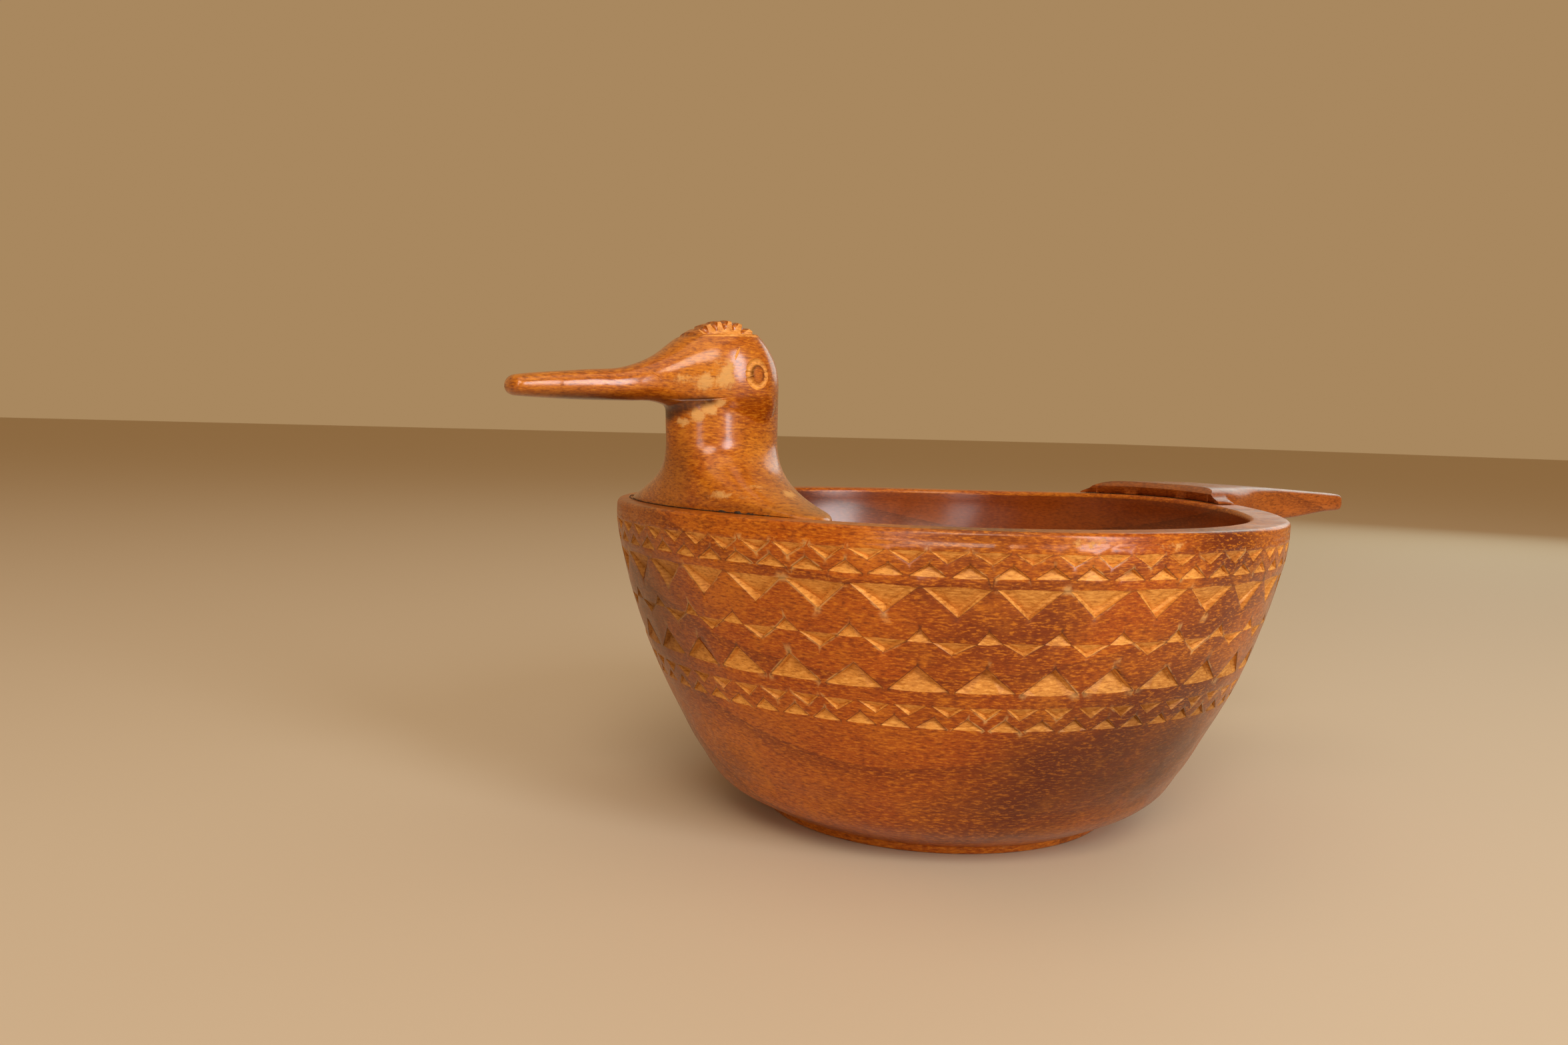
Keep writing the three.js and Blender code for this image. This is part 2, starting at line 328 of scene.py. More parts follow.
spread = []
for cut in sheet.cuts:
    middle = sum(cut, Vector((0, 0))) / len(cut)
    corners = cut[:1] + cut[-2:]
    for p, q in zip(corners, corners[1:] + corners[:1]):
        side = Vector((q.y - p.y, p.x - q.x)).normalized()
        if side.dot(middle - p) > 0:
            side = -side
        for t in (0.12, 0.37, 0.63, 0.88):
            spread.append((p.lerp(q, t) + side * RING_GAP, RING_GAP * 0.7))
rows_up = int(slope_length[-1] / WALL_PITCH)
columns_round = int(2 * math.pi * rim_radius / WALL_PITCH)
for row in range(rows_up):
    for column in range(columns_round + 8):
        x = math.radians(BEHIND - 4) * rim_radius + (column + 0.5 * (row % 2)) * WALL_PITCH
        place = Vector((x, (row + 0.5) * slope_length[-1] / rows_up))
        spread.append((place, 0.55))
for place, need in spread:
    if on_sheet(place) and clearance(place) >= need and not inside_cut(place):
        sheet.add(place)

flat_points, _, flat_faces, point_origins, _, _ = geometry.delaunay_2d_cdt(
    sheet.points, sheet.lines, [], 1, 1e-5, True
)


class Patchwork:
    """Points and faces gathered into one mesh, each face with its finish and shading."""

    def __init__(self):
        self.points, self.edge, self.faces, self.finish, self.smooth = [], [], [], [], []

    def add(self, points, faces, finish=0, smooth=True, edge=None):
        start = sum(len(block) for block in self.points)
        self.points.append(np.array(points, float))
        self.edge.append(np.zeros(len(points)) if edge is None else np.array(edge, float))
        self.faces += [tuple(start + i for i in face) for face in faces]
        self.finish += [finish] * len(faces) if isinstance(finish, int) else list(finish)
        self.smooth += [smooth] * len(faces) if isinstance(smooth, bool) else list(smooth)


def close_up(mesh, weld=0.0):
    """Welds a mesh where its patches meet and turns its faces outwards."""
    shape = bmesh.new()
    shape.from_mesh(mesh)
    if weld:
        bmesh.ops.remove_doubles(shape, verts=shape.verts, dist=weld)
    bmesh.ops.recalc_face_normals(shape, faces=shape.faces)
    shape.to_mesh(mesh)
    shape.free()


def mesh_piece(name, work, materials):
    """Makes a piece from a patchwork."""
    mesh = bpy.data.meshes.new(name)
    mesh.from_pydata((np.concatenate(work.points) * MM).tolist(), [], work.faces)
    mesh.polygons.foreach_set("material_index", work.finish)
    mesh.polygons.foreach_set("use_smooth", work.smooth)
    attribute = mesh.attributes.new("cut_edge", "FLOAT", "POINT")
    attribute.data.foreach_set("value", np.concatenate(work.edge))
    close_up(mesh, 1e-3 * MM)
    for material in materials:
        mesh.materials.append(material)
    piece = bpy.data.objects.new(name, mesh)
    bpy.context.scene.collection.objects.link(piece)
    return piece


def lathe(profile, start_angle=0.0, columns=COLUMNS):
    """Turns a profile of (radius, height) rows: points and four-sided faces, closed round."""
    angles = math.radians(start_angle) + 2 * math.pi * np.arange(columns) / columns
    points, faces = [], []
    for radius, z in profile:
        points += [(radius * math.cos(a), radius * math.sin(a), z) for a in angles]
    for row in range(len(profile) - 1):
        for i in range(columns):
            j = (i + 1) % columns
            low, high = row * columns, (row + 1) * columns
            faces.append((low + i, low + j, high + j, high + i))
    return points, faces


def disc(radius, z, start_angle, rings, rise=0.0):
    """A flat or slightly dished disc of rings round a middle point."""
    profile = [(radius * (1 - i / rings), z + rise * i / rings) for i in range(rings)]
    points, faces = lathe(profile, start_angle)
    points.append((0, 0, z + rise))
    last = (rings - 1) * COLUMNS
    faces += [(last + i, last + (i + 1) % COLUMNS, len(points) - 1) for i in range(COLUMNS)]
    return points, faces


bowl_work = Patchwork()
flat = np.array([tuple(p) for p in flat_points])
heights = np.interp(flat[:, 1], slope_length, levels)
turn = flat[:, 0] / rim_radius
point_depths = np.array([max((sheet.depths[i] for i in ids), default=0.0) for ids in point_origins])
# Each outline corner carries the strength of its painted shadow line.
outline = {tuple(np.round(point, 4)): shade for point, shade in sheet.crisp}
on_outline = np.array([outline.get(tuple(np.round(point, 4)), 0.0) for point in flat])
slope = np.gradient(outer_radius(levels), levels)
lean = np.arctan(np.interp(heights, levels, slope))
radius = outer_radius(heights) - point_depths * np.cos(lean)
heights = heights + point_depths * np.sin(lean)
wall_points = np.stack([radius * np.cos(turn), radius * np.sin(turn), heights], 1)
cut_faces = []
for face in flat_faces:
    middle = Vector(flat[list(face)].mean(0))
    cut_faces.append(int(inside_cut(middle)))
bowl_work.add(wall_points, flat_faces, cut_faces, [not cut for cut in cut_faces], on_outline)


def rim_profile(steps=16):
    """The rim from its outside over the nearly flat top to the hollow."""
    outside = outer_radius(wall_top) - RIM_ROUNDING
    inside = inner_radius(wall_top) + RIM_ROUNDING
    rows = []
    for i in range(steps + 1):
        angle = math.pi * i / steps
        middle = outside if angle <= math.pi / 2 else inside
        rows.append((middle + RIM_ROUNDING * math.cos(angle), wall_top + RIM_ROUNDING * math.sin(angle)))
        if i == steps // 2:
            rows += [(outside + (inside - outside) * t, rim_height) for t in (0.12, 0.35, 0.65, 0.88, 1)]
    return rows


def strip(low, high, steps, radius_at, power=1.0):
    """Rows up or down a wall from one height to another."""
    heights = low + (high - low) * (np.arange(steps) / steps) ** power
    return [(float(radius_at(z)), float(z)) for z in heights]


upper = [(float(outer_radius(z)), float(z)) for z in (CARVED_TOP, (CARVED_TOP + wall_top) / 2)]
hollow = strip(FLOOR, wall_top, 64, inner_radius, 2.0)[:2:-1]
bowl_work.add(*lathe(upper + rim_profile(), slit[0][0]))
bowl_work.add(*lathe([rim_profile()[-1]] + hollow, slit[0][0]), finish=2)
bowl_work.add(*disc(hollow[-1][0], hollow[-1][1], slit[0][0], 6, FLOOR - hollow[-1][1]), finish=2)
below = strip(FOOT_HEIGHT, CARVED_BOTTOM, 26, outer_radius, 1.5)[::-1]
foot = [
    (FOOT_RADIUS + 0.9, FOOT_HEIGHT - 0.25),
    (FOOT_RADIUS + 0.35, FOOT_HEIGHT - 0.4),
    (FOOT_RADIUS + 0.1, FOOT_HEIGHT - 0.6),
    (FOOT_RADIUS, FOOT_HEIGHT - 0.9),
    (FOOT_RADIUS, 0.5),
    (FOOT_RADIUS - 0.15, 0.2),
    (FOOT_RADIUS - 0.5, 0),
]
lower = [(float(outer_radius(CARVED_BOTTOM)), CARVED_BOTTOM)] + below + foot
bowl_work.add(*lathe(lower, slit[-1][0]))
bowl_work.add(*disc(foot[-1][0], 0, slit[-1][0], 5))

everywhere = np.concatenate(bowl_work.points)
flat_out = everywhere * [1, 1, 0]
out = flat_out / np.maximum(np.linalg.norm(flat_out, axis=1), 1e-6)[:, None]
up_share = np.clip(everywhere[:, 2] / 8, 0, 1)[:, None]
uneven = (ripple(everywhere, 22, 0.09, 3) + ripple(everywhere, 9, 0.035, 4))[:, None]
everywhere += out * (uneven - SKIN) * up_share
everywhere = lift_rim(everywhere)
bowl_work.points = [everywhere]


def node_group(name, inputs, outputs):
    """A shader node group with named inputs (name, kind, value) and outputs (name, kind)."""
    group = bpy.data.node_groups.new(name, "ShaderNodeTree")
    for label, kind, value in inputs:
        socket = group.interface.new_socket(label, in_out="INPUT", socket_type=kind)
        if value is not None:
            socket.default_value = value
    for label, kind in outputs:
        group.interface.new_socket(label, in_out="OUTPUT", socket_type=kind)
    return group, group.nodes.new("NodeGroupInput"), group.nodes.new("NodeGroupOutput")


class Bench:
    """Short ways to lay shader nodes in a tree. A value may be a number, a colour or a socket."""

    def __init__(self, tree):
        self.tree = tree

    def put(self, socket, value):
        if isinstance(value, bpy.types.NodeSocket):
            self.tree.links.new(value, socket)
        else:
            socket.default_value = value

    def noise(self, vector, scale, detail=3.0, roughness=0.55, distortion=0.0):
        node = self.tree.nodes.new("ShaderNodeTexNoise")
        self.put(node.inputs["Vector"], vector)
        self.put(node.inputs["Scale"], scale)
        self.put(node.inputs["Detail"], detail)
        self.put(node.inputs["Roughness"], roughness)
        self.put(node.inputs["Distortion"], distortion)
        return node.outputs["Fac"]

    def stretch(self, vector, scale, turn=(0, 0, 0)):
        node = self.tree.nodes.new("ShaderNodeMapping")
        self.put(node.inputs["Vector"], vector)
        self.put(node.inputs["Scale"], scale)
        self.put(node.inputs["Rotation"], turn)
        return node.outputs["Vector"]

    def math(self, how, a, b=0.0, c=0.0):
        node = self.tree.nodes.new("ShaderNodeMath")
        node.operation = how
        for socket, value in zip(node.inputs, (a, b, c)):
            self.put(socket, value)
        return node.outputs[0]

    def spread(self, value, low, high, to_low=0.0, to_high=1.0):
        node = self.tree.nodes.new("ShaderNodeMapRange")
        node.interpolation_type = "SMOOTHSTEP"
        labels = ("Value", "From Min", "From Max", "To Min", "To Max")
        for label, number in zip(labels, (value, low, high, to_low, to_high)):
            self.put(node.inputs[label], number)
        return node.outputs["Result"]

    def mix(self, share, a, b):
        node = self.tree.nodes.new("ShaderNodeMix")
        node.data_type = "RGBA"
        self.put(node.inputs["Factor"], share)
        self.put(node.inputs[6], a)
        self.put(node.inputs[7], b)
        return node.outputs[2]

    def attribute(self, name):
        node = self.tree.nodes.new("ShaderNodeAttribute")
        node.attribute_name = name
        return node.outputs["Fac"]

    def object_place(self):
        return self.tree.nodes.new("ShaderNodeTexCoord").outputs["Object"]

    def bump(self, height, strength, distance=0.001):
        node = self.tree.nodes.new("ShaderNodeBump")
        self.put(node.inputs["Height"], height)
        self.put(node.inputs["Strength"], strength)
        self.put(node.inputs["Distance"], distance)
        return node.outputs["Normal"]


def make_grain_group():
    """Fine-pored wood: short flecks along the fibres, faint growth rings, and clouds of stain."""
    group, inputs, outputs = node_group(
        "wood_grain",
        [
            ("Place", "NodeSocketVector", None),
            ("Light", "NodeSocketColor", (0.6, 0.2, 0.03, 1)),
            ("Middle", "NodeSocketColor", (0.4, 0.1, 0.012, 1)),
            ("Dark", "NodeSocketColor", (0.14, 0.025, 0.005, 1)),
            ("Clouds", "NodeSocketFloat", 1.0),
            ("Rings", "NodeSocketFloat", 1.0),
            ("Flecks", "NodeSocketFloat", 1.0),
        ],
        [
            ("Color", "NodeSocketColor"),
            ("Height", "NodeSocketFloat"),
            ("Gloss", "NodeSocketFloat"),
        ],
    )
    bench = Bench(group)
    labels = ("Place", "Light", "Middle", "Dark", "Clouds", "Rings", "Flecks")
    place, light, middle, dark, cloud_share, ring_share, fleck_share = (inputs.outputs[n] for n in labels)
    along = bench.stretch(place, (0.26, 0.26, 1.0))
    flecks = bench.noise(along, 3600, 2.0, 0.65)
    fibres = bench.noise(bench.stretch(place, (0.09, 0.12, 1.0)), 1700, 3.0, 0.65)
    pores = bench.noise(along, 5200, 1.0, 0.5)
    wander = bench.noise(place, 26, 2.0, 0.5)
    clouds = bench.noise(place, 48, 4.0, 0.6, 0.4)
    patches = bench.noise(bench.stretch(place, (0.6, 1, 1)), 210, 3.0, 0.6, 0.6)
    # The growth rings lie aslant, as in a block cut from beside the heart of the tree.
    turned = group.nodes.new("ShaderNodeVectorMath")
    turned.operation = "REFLECT"
    bench.put(turned.inputs[0], place)
    bench.put(turned.inputs[1], (-0.866, 0.5, 0))
    rings = group.nodes.new("ShaderNodeTexWave")
    rings.wave_type = "RINGS"
    rings.rings_direction = "X"
    rings.wave_profile = "SAW"
    ring_place = bench.stretch(turned.outputs["Vector"], (0.25, 0.8, 1.0), (-0.35, 0.1, 0.6))
    bench.put(rings.inputs["Vector"], ring_place)
    for label, value in (("Scale", 26), ("Distortion", 2.2), ("Detail", 2.0), ("Detail Scale", 0.6)):
        bench.put(rings.inputs[label], value)
    ring_line = bench.spread(rings.outputs["Fac"], 0.72, 1.0)
    color = bench.mix(bench.spread(clouds, 0.34, 0.66, 0.0, 0.45), middle, light)
    layers = (
        (bench.spread(wander, 0.5, 0.74), cloud_share, dark),
        (bench.spread(patches, 0.5, 0.75, 0.0, 0.35), cloud_share, light),
        (bench.math("MULTIPLY", ring_line, 0.5), ring_share, dark),
        (bench.spread(flecks, 0.5, 0.68, 0.0, 0.62), fleck_share, dark),
        (bench.spread(flecks, 0.49, 0.34, 0.0, 0.6), fleck_share, light),
        (bench.spread(fibres, 0.5, 0.75, 0.0, 0.3), fleck_share, dark),
    )
    for mask, share, tone in layers:
        color = bench.mix(bench.math("MULTIPLY", mask, share), color, tone)
    height = bench.math("MULTIPLY_ADD", flecks, 0.6, bench.math("MULTIPLY", fibres, 0.5))
    height = bench.math("MULTIPLY_ADD", pores, 0.35, height)
    group.links.new(color, outputs.inputs["Color"])
    group.links.new(height, outputs.inputs["Height"])
    group.links.new(patches, outputs.inputs["Gloss"])
    return group


grain_group = make_grain_group()


BARE_WOOD = (0.66, 0.36, 0.12, 1)
# The colour of dirt and of painted shade, laid where the mesh is marked dark.
DIRT_AND_PAINTED_SHADE = (0.045, 0.006, 0.001, 1)
# The colour of the painted shadow line along the sides of the cuts.
CUT_SHADOW_LINE = (0.05, 0.012, 0.004, 1)


def wood(
    name,
    light,
    middle,
    dark,
    clouds=1.0,
    rings=1.0,
    flecks=1.0,
    gloss=(0.36, 0.56),
    coat=0.6,
    coat_roughness=0.22,
    relief=0.45,
    shadow_line=0.0,
    edge_pale=0.0,
):
    """A wood with its stain and varnish. Masks on the mesh say where it is cut or worn, and where dirt and
    painted shade darken it; a painted shadow line can run along the cuts.
    """
    material = bpy.data.materials.new(name)
    material.use_nodes = True
    tree = material.node_tree
    bench = Bench(tree)
    shader = tree.nodes["Principled BSDF"].inputs
    grain = tree.nodes.new("ShaderNodeGroup")
    grain.node_tree = grain_group
    place = bench.object_place()
    labels = ("Place", "Light", "Middle", "Dark", "Clouds", "Rings", "Flecks")
    for label, value in zip(labels, (place, light, middle, dark, clouds, rings, flecks)):
        bench.put(grain.inputs[label], value)
    color = grain.outputs["Color"]
    edge = bench.attribute("cut_edge")
    if edge_pale:
        near = bench.math("MULTIPLY", bench.spread(edge, 0.0, 0.9), edge_pale)
        ragged = bench.math("ADD", bench.noise(place, 420, 3.0, 0.6), bench.noise(place, 70, 2.0, 0.5))
        color = bench.mix(bench.math("MULTIPLY", bench.spread(ragged, 0.98, 1.2), near), color, BARE_WOOD)
    # A dark painted shadow line along the sides of the cuts.
    if shadow_line:
        line = bench.math("MULTIPLY", bench.spread(edge, 0.55, 0.98), shadow_line)
        color = bench.mix(line, color, CUT_SHADOW_LINE)
    ragged_wear = bench.math("MULTIPLY_ADD", bench.noise(place, 430, 5.0, 0.75), 2.0, -1.0)
    wear = bench.spread(bench.math("MULTIPLY_ADD", bench.attribute("worn"), 1.2, ragged_wear), 0.5, 0.98)
    color = bench.mix(bench.math("MULTIPLY", wear, 0.78), color, BARE_WOOD)
    # Darkening by dirt and by painted shade, as the mesh marks it.
    uneven_dirt_and_shade = bench.spread(bench.noise(place, 180, 3.0, 0.6), 0.2, 0.6, 0.65, 1.0)
    color = bench.mix(bench.math("MULTIPLY", bench.attribute("dirt_and_shade"), uneven_dirt_and_shade), color, DIRT_AND_PAINTED_SHADE)
    roughness = bench.spread(grain.outputs["Gloss"], 0.3, 0.7, gloss[0], gloss[1])
    bench.put(shader["Base Color"], color)
    bench.put(shader["Roughness"], bench.math("MAXIMUM", roughness, bench.math("MULTIPLY", wear, 0.7)))
    bench.put(shader["Coat Weight"], bench.spread(wear, 0.0, 0.8, coat, 0.0))
    bench.put(shader["Normal"], bench.bump(grain.outputs["Height"], relief, 0.0002))
    shader["Specular IOR Level"].default_value = 0.2
    shader["Specular Tint"].default_value = (1, 0.72, 0.45, 1)
    shader["Coat Roughness"].default_value = coat_roughness
    return material


bowl_varnish = wood(
    "bowl_varnish",
    light=(0.64, 0.2, 0.01, 1),
    middle=(0.37, 0.066, 0.001, 1),
    dark=(0.12, 0.013, 0.0004, 1),
    shadow_line=0.6,
    edge_pale=0.8,
)
bowl_cuts = wood(
    "bowl_cuts",
    light=(0.86, 0.42, 0.1, 1),
    middle=(0.66, 0.265, 0.045, 1),
    dark=(0.27, 0.072, 0.01, 1),
    clouds=0.5,
    rings=0.3,
    flecks=0.9,
    gloss=(0.45, 0.65),
    coat=0.15,
    coat_roughness=0.3,
    shadow_line=0.5,
)
bowl_hollow = wood(
    "bowl_hollow",
    light=(0.34, 0.066, 0.004, 1),
    middle=(0.19, 0.028, 0.001, 1),
    dark=(0.07, 0.009, 0.001, 1),
    flecks=0.6,
    gloss=(0.28, 0.4),
    coat=1.0,
    coat_roughness=0.24,
    relief=0.2,
)


def paint(piece, name, spots):
    """Marks a mask on a mesh: each spot is a place, its reach in X, Y and Z, and its strength."""
    places = np.empty(len(piece.data.vertices) * 3)
    piece.data.vertices.foreach_get("co", places)
    places = places.reshape(-1, 3) / MM
    mask = np.zeros(len(places))
    for spot, reach, strength in spots:
        away = np.linalg.norm((places - np.array(spot)) / np.array(reach), axis=1)
        mask = np.maximum(mask, strength * np.clip(1.25 - away, 0, 1))
    layer = piece.data.attributes.get(name) or piece.data.attributes.new(name, "FLOAT", "POINT")
    layer.data.foreach_set("value", mask)


def wall_spot(angle, z):
    turn = math.radians(angle)
    return (float(outer_radius(z)) * math.cos(turn), float(outer_radius(z)) * math.sin(turn), z)


bowl = mesh_piece("carved_bowl", bowl_work, [bowl_varnish, bowl_cuts, bowl_hollow])
rubbed = [
    (wall_spot(71, 54), (9, 9, 1.5), 0.5),
    (wall_spot(86, 53.6), (9, 9, 1.4), 0.44),
    (wall_spot(48, 42), (6, 6, 1.1), 0.42),
    (wall_spot(59, 42.4), (5, 5, 1.5), 0.5),
    (wall_spot(76, 42.2), (4, 4, 1.2), 0.48),
    (wall_spot(95, 48.1), (14, 14, 1.1), 0.42),
    (wall_spot(90, 42.4), (7, 7, 1.3), 0.4),
    (wall_spot(63, 47.9), (3, 3, 1.6), 0.44),
    (wall_spot(40, 31), (6, 6, 1.4), 0.32),
    (wall_spot(200, 52.5), (9, 9, 2.2), 0.45),
    (wall_spot(250, 43), (8, 8, 2), 0.45),
    (wall_spot(310, 49), (9, 9, 2), 0.42),
]
rubbed += [(wall_spot(angle, 1.4), (9, 9, 0.7), 0.34 + 0.1 * math.sin(angle)) for angle in range(0, 360, 12)]
# Painted shade on the lower right of the wall and on its left between the rows; the other spots darken the
# wall at its right edge, just below the head and behind.
stain_and_painted_shade = [
    (wall_spot(98, 17), (32, 20, 17), 0.8),
    (wall_spot(-6, 38), (16, 18, 20), 0.7),
    (wall_spot(128, 40), (14, 14, 18), 0.45),
    (wall_spot(2, 52), (9, 9, 3), 0.3),
    (wall_spot(205, 20), (18, 20, 16), 0.5),
    (wall_spot(290, 30), (18, 18, 16), 0.45),
]
paint(bowl, "worn", rubbed)
paint(bowl, "dirt_and_shade", stain_and_painted_shade)
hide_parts("bowl")
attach(bowl, "root")


# ---- Head and neck --------------------------------------------------------------------------------
# A second piece of the same wood, carved to a long-beaked bird. Its foot is stepped to sit over the
# inner part of the rim and down the hollow, where glue and two dowels hold it. Grain runs with the beak.
NECK_INSET = 14.2
NECK_DEPTH = 9.6
NECK_WIDTH = 8.2
NECK_HEIGHT = 21
NECK_LEAN = 0.9
FLARE_HEIGHT = 11
FOOT_HALF_WIDTH = 29
FOOT_BACK = 13
FOOT_SHIFT = 8
BRACKET_DEPTH = 14
BRACKET_HALF_WIDTH = 15
BEAK_TIP = 37.2
HEAD_BACK = -8.8
HEAD_SQUARENESS = 2.2
HEAD_ROUNDINGS = (6, 1.2)
SEAM_INSET = 4.5
SEAM_SKEW = 0.085
FIT = 0.14
HEAD_VOXEL = 0.38

neck_reach = rim_radius - NECK_INSET
seam_radius = float(outer_radius(wall_top)) - SEAM_INSET

head_shape = smooth_through(
    [
        [-8.8, 25.6, 12, 5.9],
        [-8.4, 26.2, 12, 6.4],
        [-4.8, 28.6, 12, 7.9],
        [-0.3, 30.57, 12, 8.5],
        [4.2, 30, 13, 8],
        [8.6, 27.5, 15.6, 6.4],
        [12.7, 24.5, 16.9, 4.9],
        [17.7, 22.4, 16.9, 4.1],
        [25.2, 21.5, 16.8, 3.7],
        [35.2, 20.4, 17, 3.1],
        [37.2, 20.1, 17.1, 3.0],
    ]
)


def tube_mesh(rings, name, finish=0, closed=False):
    """A closed skin over rings of points, capped at both ends unless it runs round on itself."""
    around = len(rings[0])
    points = [tuple(point) for ring in rings for point in ring]
    faces = []
    last = len(rings) if closed else len(rings) - 1
    for row in range(last):
        low, high = row * around, ((row + 1) % len(rings)) * around
        for i in range(around):
            j = (i + 1) % around
            faces.append((low + i, low + j, high + j, high + i))
    if not closed:
        faces.append(tuple(range(around))[::-1])
        faces.append(tuple((len(rings) - 1) * around + i for i in range(around)))
    mesh = bpy.data.meshes.new(name)
    mesh.from_pydata((np.array(points) * MM).tolist(), [], faces)
    mesh.polygons.foreach_set("material_index", [finish] * len(faces))
    close_up(mesh)
    return bpy.data.objects.new(name, mesh)


def squared(wave, squareness):
    """A sine or cosine fattened towards a square, so that a ring through it has flatter sides."""
    return np.sign(wave) * np.abs(wave) ** (2 / squareness)


def station_rings(shape_at, start, end, roundings, squareness, steps, around):
    """Rings along X through stations of top, underside and half width, with rounded ends."""
    rings = []
    turn = np.linspace(0, 2 * math.pi, around, endpoint=False)
    for t in np.linspace(0, 1, steps):
        along = start + (end - start) * ((1 - math.cos(math.pi * t)) / 2 + t) / 2
        from_start = min(1, (along - start) / roundings[0])
        from_end = min(1, (end - along) / roundings[1])
        swell = math.sqrt(1 - (1 - from_start) ** 2) * math.sqrt(1 - (1 - from_end) ** 2)
        size = 0.03 + 0.97 * swell
        top, bottom, half_width = (float(v) for v in shape_at(along))
        across = squared(np.cos(turn), squareness) * half_width * size
        up = squared(np.sin(turn), squareness) * (top - bottom) / 2 * size
        rings.append(np.stack([np.full(around, along), across, rim_height + (top + bottom) / 2 + up], 1))
    return rings


def seam_at(angle):
    """The radius of the head's seam on the rim: it isn't quite concentric with the bowl."""
    skewed = seam_radius + 0.2 - SEAM_SKEW * math.degrees(1) * angle
    return np.clip(skewed, seam_radius - 3.1, seam_radius + 2.2)


def neck_rings(steps=110, around=140):
    """The neck as a column that flares into a foot along the rim, with a bracket down the hollow."""
    bracket_end = float(inner_radius(rim_height - BRACKET_DEPTH)) - neck_reach + 0.3
    turn = np.linspace(0, 2 * math.pi, around, endpoint=False)
    across, out = np.cos(turn), np.sin(turn)
    rings = []
    for height in np.linspace(-BRACKET_DEPTH, NECK_HEIGHT, steps):
        flare = min(1, max(0, 1 - height / FLARE_HEIGHT)) ** 2
        drop = max(0, -height / BRACKET_DEPTH)
        side = NECK_WIDTH + (FOOT_HALF_WIDTH - NECK_WIDTH) * flare
        half_width = side - (FOOT_HALF_WIDTH - BRACKET_HALF_WIDTH) * drop**2
        angle = across * half_width / seam_radius
        outward = seam_at(angle) - neck_reach
        back = NECK_DEPTH + (FOOT_BACK - NECK_DEPTH) * flare
        inner = -back + (back + bracket_end) * drop**1.5
        lean = NECK_LEAN * max(0, height / NECK_HEIGHT)
        outer = NECK_DEPTH + (outward - NECK_DEPTH) * flare + lean
        radial = (inner + outer) / 2 + out * (outer - inner) / 2
        shift = FOOT_SHIFT * flare * across**2 * (1 - drop)
        reach = np.minimum(neck_reach + radial + shift, seam_at(angle) + lean)
        spread_out = np.sin(angle) * (seam_radius * flare + reach * (1 - flare))
        rings.append(np.stack([reach * np.cos(angle), spread_out, np.full(around, rim_height + height)], 1))
    return rings


def baked(piece):
    """Turns what a piece's modifiers make into its own mesh."""
    bpy.context.view_layer.update()
    result = bpy.data.meshes.new_from_object(piece.evaluated_get(bpy.context.evaluated_depsgraph_get()))
    piece.modifiers.clear()
    piece.data = result
    return piece


def carve(piece, *cutters):
    """Cuts each cutter's shape out of a piece. The cut takes the cutter's finish."""
    for cutter in cutters:
        bpy.context.scene.collection.objects.link(cutter)
        for material in piece.data.materials:
            cutter.data.materials.append(material)
        change = piece.modifiers.new("carve", "BOOLEAN")
        change.operation = "DIFFERENCE"
        change.solver = "MANIFOLD"
        change.object = cutter
    baked(piece)
    for cutter in cutters:
        bpy.data.objects.remove(cutter)
    return piece


def fused(name, parts, voxel, smoothing, materials):
    """Overlapping bodies blended into one smooth body, as if carved from one block."""
    work = bmesh.new()
    for part in parts:
        work.from_mesh(part.data)
    mesh = bpy.data.meshes.new(name)
    work.to_mesh(mesh)
    work.free()
    for material in materials:
        mesh.materials.append(material)
    piece = bpy.data.objects.new(name, mesh)
    bpy.context.scene.collection.objects.link(piece)
    remesh = piece.modifiers.new("fuse", "REMESH")
    remesh.mode = "VOXEL"
    remesh.voxel_size = voxel * MM
    smooth = piece.modifiers.new("smooth", "SMOOTH")
    smooth.factor = 0.5
    smooth.iterations = smoothing
    return baked(piece)


def lathe_cutter(profile, name, columns=360):
    """A turned ring or plug to cut with, from a profile that closes on itself or on the axis."""
    closing = profile[:1] if profile[0][0] else []
    points, faces = lathe(profile + closing, 0, columns)
    mesh = bpy.data.meshes.new(name)
    points = lift_rim(np.array(points))
    mesh.from_pydata((points * MM).tolist(), [], faces)
    close_up(mesh, 1e-4 * MM)
    return bpy.data.objects.new(name, mesh)


def wall_cutter():
    """The wall round the rim, a glue line larger all round."""
    low = rim_height - 2 * BRACKET_DEPTH
    outside = [(float(outer_radius(z)) + FIT, float(z)) for z in np.linspace(low, wall_top, 20)[:-1]]
    inside = [(float(inner_radius(z)) - FIT, float(z)) for z in np.linspace(wall_top, low, 20)[1:]]
    grown = []
    middle = (float(outer_radius(wall_top)) + float(inner_radius(wall_top))) / 2
    for r, z in rim_profile():
        towards = math.atan2(z - wall_top + RIM_ROUNDING * 0.5, r - middle) if z > wall_top else 0
        outwards = (FIT if r > middle else -FIT) * abs(math.cos(towards)) ** 8
        grown.append((r + outwards, z + (FIT if z > wall_top else 0)))
    return lathe_cutter(outside + grown + inside, "wall_cutter")


def path_frames(path, closed):
    """At each point of a path, two directions across it."""
    count = len(path)
    frames = []
    for i, point in enumerate(path):
        ahead = path[(i + 1) % count] if closed or i < count - 1 else point
        behind = path[i - 1] if closed or i > 0 else point
        tangent = (ahead - behind).normalized()
        side = tangent.cross(Vector((0, 0, 1)))
        if side.length < 0.2:
            side = tangent.cross(Vector((0, 1, 0)))
        side.normalize()
        frames.append((side, side.cross(tangent)))
    return frames


